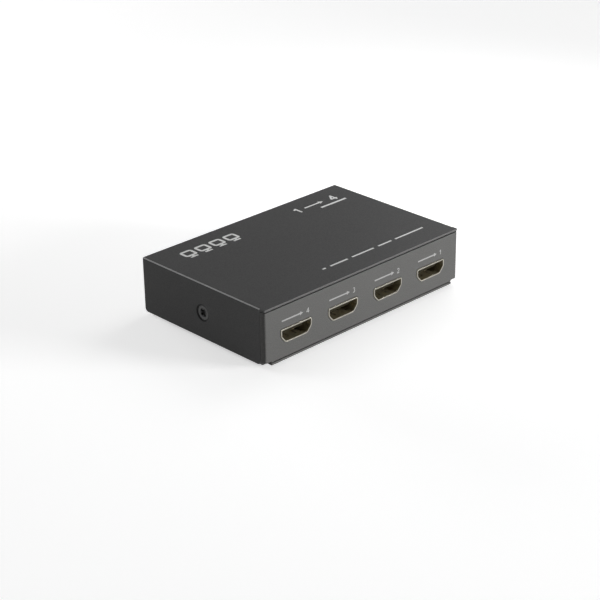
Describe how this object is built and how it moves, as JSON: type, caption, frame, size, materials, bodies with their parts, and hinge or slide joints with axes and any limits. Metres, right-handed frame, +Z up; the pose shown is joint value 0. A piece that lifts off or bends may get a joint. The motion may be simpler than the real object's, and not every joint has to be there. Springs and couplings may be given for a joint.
{
  "type": "video splitter",
  "caption": "Small folded-metal box that copies one digital video input to a row of output ports, with status lights and a round power inlet on the back.",
  "frame": {"origin": "middle of the case at the level of the feet's undersides", "axes": "+X along the width, to the right when facing the output ports; -Y out of the output panel and +Y out of the input panel; +Z up"},
  "size_m": [0.1, 0.065, 0.0232],
  "materials": {
    "cover_paint": "dark grey powder coat, fine texture, satin",
    "tray_paint": "dark grey powder coat, fine texture, satin",
    "black_screw": "black oxide, low sheen",
    "zinc_plate": "zinc plated",
    "foot_rubber": "matt moulded",
    "board_laminate": "green solder mask over copper tracks",
    "standoff_brass": "turned",
    "port_shell_plate": "nickel plate with a pale gold flash",
    "port_plastic": "moulded, fine matt",
    "contact_gold": "gold flash",
    "inlet_plastic": "moulded, satin",
    "nickel_plate": "nickel plated",
    "light_lens": "milky clear epoxy over a pale cup",
    "tinned_lead": "tinned",
    "chip_resin": "moulded epoxy",
    "thermal_silicone": "soft pad",
    "sink_aluminium": "extruded, clear anodised",
    "ferrite": "pressed ferrite",
    "can_aluminium": "drawn can",
    "chip_resistor": "glazed ceramic with tinned ends"
  },
  "bodies": {
    "unit": {"base_tray": "tray_paint", "output_panel": "tray_paint", "panel_rivets": "zinc_plate", "top_cover": "cover_paint", "cover_screws": "black_screw", "clinch_nuts": "zinc_plate", "rubber_feet": "foot_rubber", "main_board": "board_laminate", "board_standoffs": "standoff_brass", "board_screws": "zinc_plate", "output_1_shell": "port_shell_plate", "output_2_shell": "port_shell_plate", "output_3_shell": "port_shell_plate", "output_4_shell": "port_shell_plate", "input_shell": "port_shell_plate", "output_1_insulator": "port_plastic", "output_2_insulator": "port_plastic", "output_3_insulator": "port_plastic", "output_4_insulator": "port_plastic", "input_insulator": "port_plastic", "output_1_contacts": "contact_gold", "output_2_contacts": "contact_gold", "output_3_contacts": "contact_gold", "output_4_contacts": "contact_gold", "input_contacts": "contact_gold", "power_inlet_body": "inlet_plastic", "power_inlet_pin": "nickel_plate", "power_inlet_spring_leg": "nickel_plate", "power_inlet_switch_leg": "nickel_plate", "output_light_1": "light_lens", "output_light_2": "light_lens", "output_light_3": "light_lens", "output_light_4": "light_lens", "power_light": "light_lens", "light_leads": "tinned_lead", "splitter_chip": "chip_resin", "splitter_chip_leads": "tinned_lead", "thermal_pad": "thermal_silicone", "heat_sink": "sink_aluminium", "equaliser_chip": "chip_resin", "memory_chip": "chip_resin", "voltage_regulators": "chip_resin", "power_inductor": "ferrite", "can_capacitors": "can_aluminium", "crystal": "zinc_plate", "surge_protectors": "chip_resin", "resistors": "chip_resistor"},
    "inlet_spring": {"power_inlet_spring": "nickel_plate"}
  },
  "joints": [
    {"name": "inlet_spring_press", "type": "hinge", "parent": "unit", "child": "inlet_spring", "pos_m": [-0.034, 0.0209, 0.0104], "axis": [-1, 0, 0], "range_deg": [0, 4], "stiffness_Nm_per_rad": 0.05, "springref_deg": -1.15}
  ]
}
